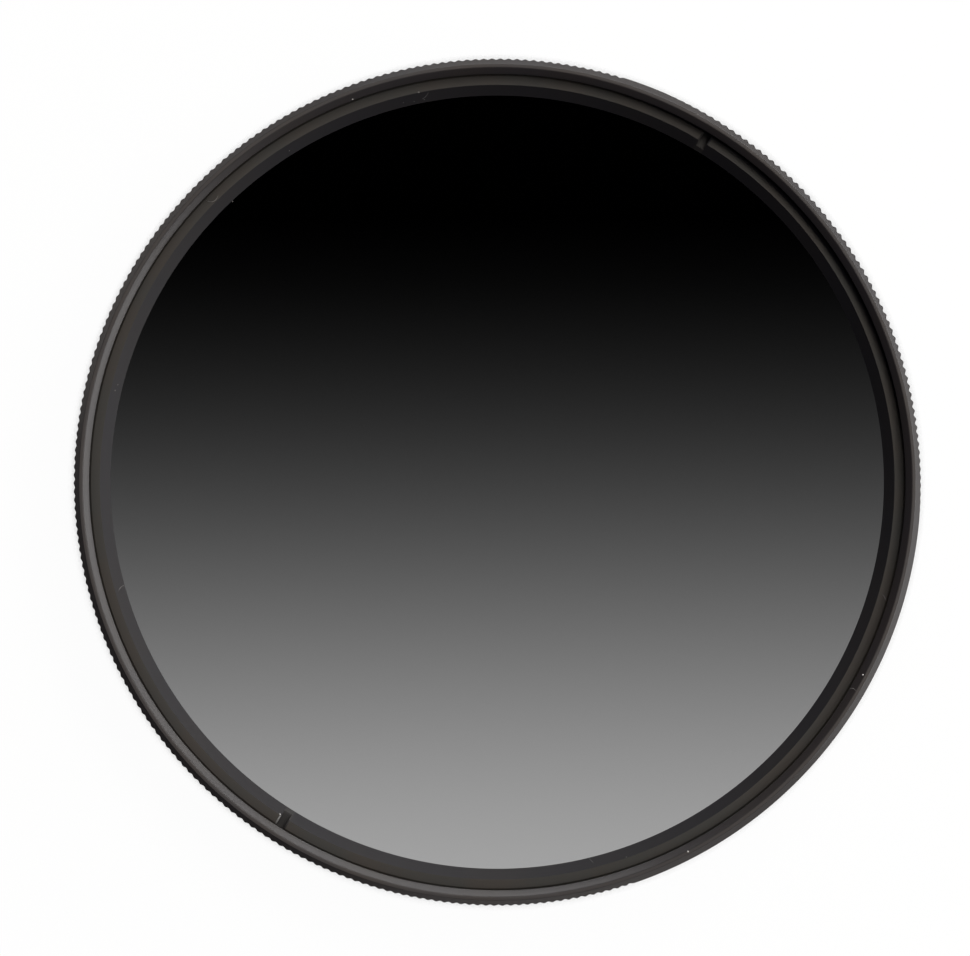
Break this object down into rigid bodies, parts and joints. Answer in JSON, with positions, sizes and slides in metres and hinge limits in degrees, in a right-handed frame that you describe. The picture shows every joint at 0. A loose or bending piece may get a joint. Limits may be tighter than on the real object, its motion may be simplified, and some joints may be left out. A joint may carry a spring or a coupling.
{
  "type": "screw-in lens filter",
  "caption": "Round graduated neutral-density lens filter: glass disc in a knurled front ring that turns on a threaded mount ring.",
  "frame": {"origin": "on the optical axis, in the plane of the rear end of the male thread", "axes": "+Z along the optical axis from the lens towards the scene, +Y towards the dark side of the glass at rest"},
  "size_m": [0.079, 0.079, 0.0107],
  "materials": {
    "mount_metal": "satin black anodised",
    "rim_metal": "satin black anodised",
    "retainer_metal": "satin black anodised",
    "graduated_glass": "polished, coated, grey fading from dark to light",
    "spring_wire": "bright drawn wire"
  },
  "bodies": {
    "mount": {"mount_ring": "mount_metal", "snap_ring": "spring_wire"},
    "turning_front": {"front_ring": "rim_metal", "filter_glass": "graduated_glass", "retaining_ring": "retainer_metal"}
  },
  "joints": [
    {"name": "front_turn", "type": "hinge", "parent": "mount", "child": "turning_front", "pos_m": [0, 0, 0.0043], "axis": [0, 0, 1], "continuous": true}
  ]
}
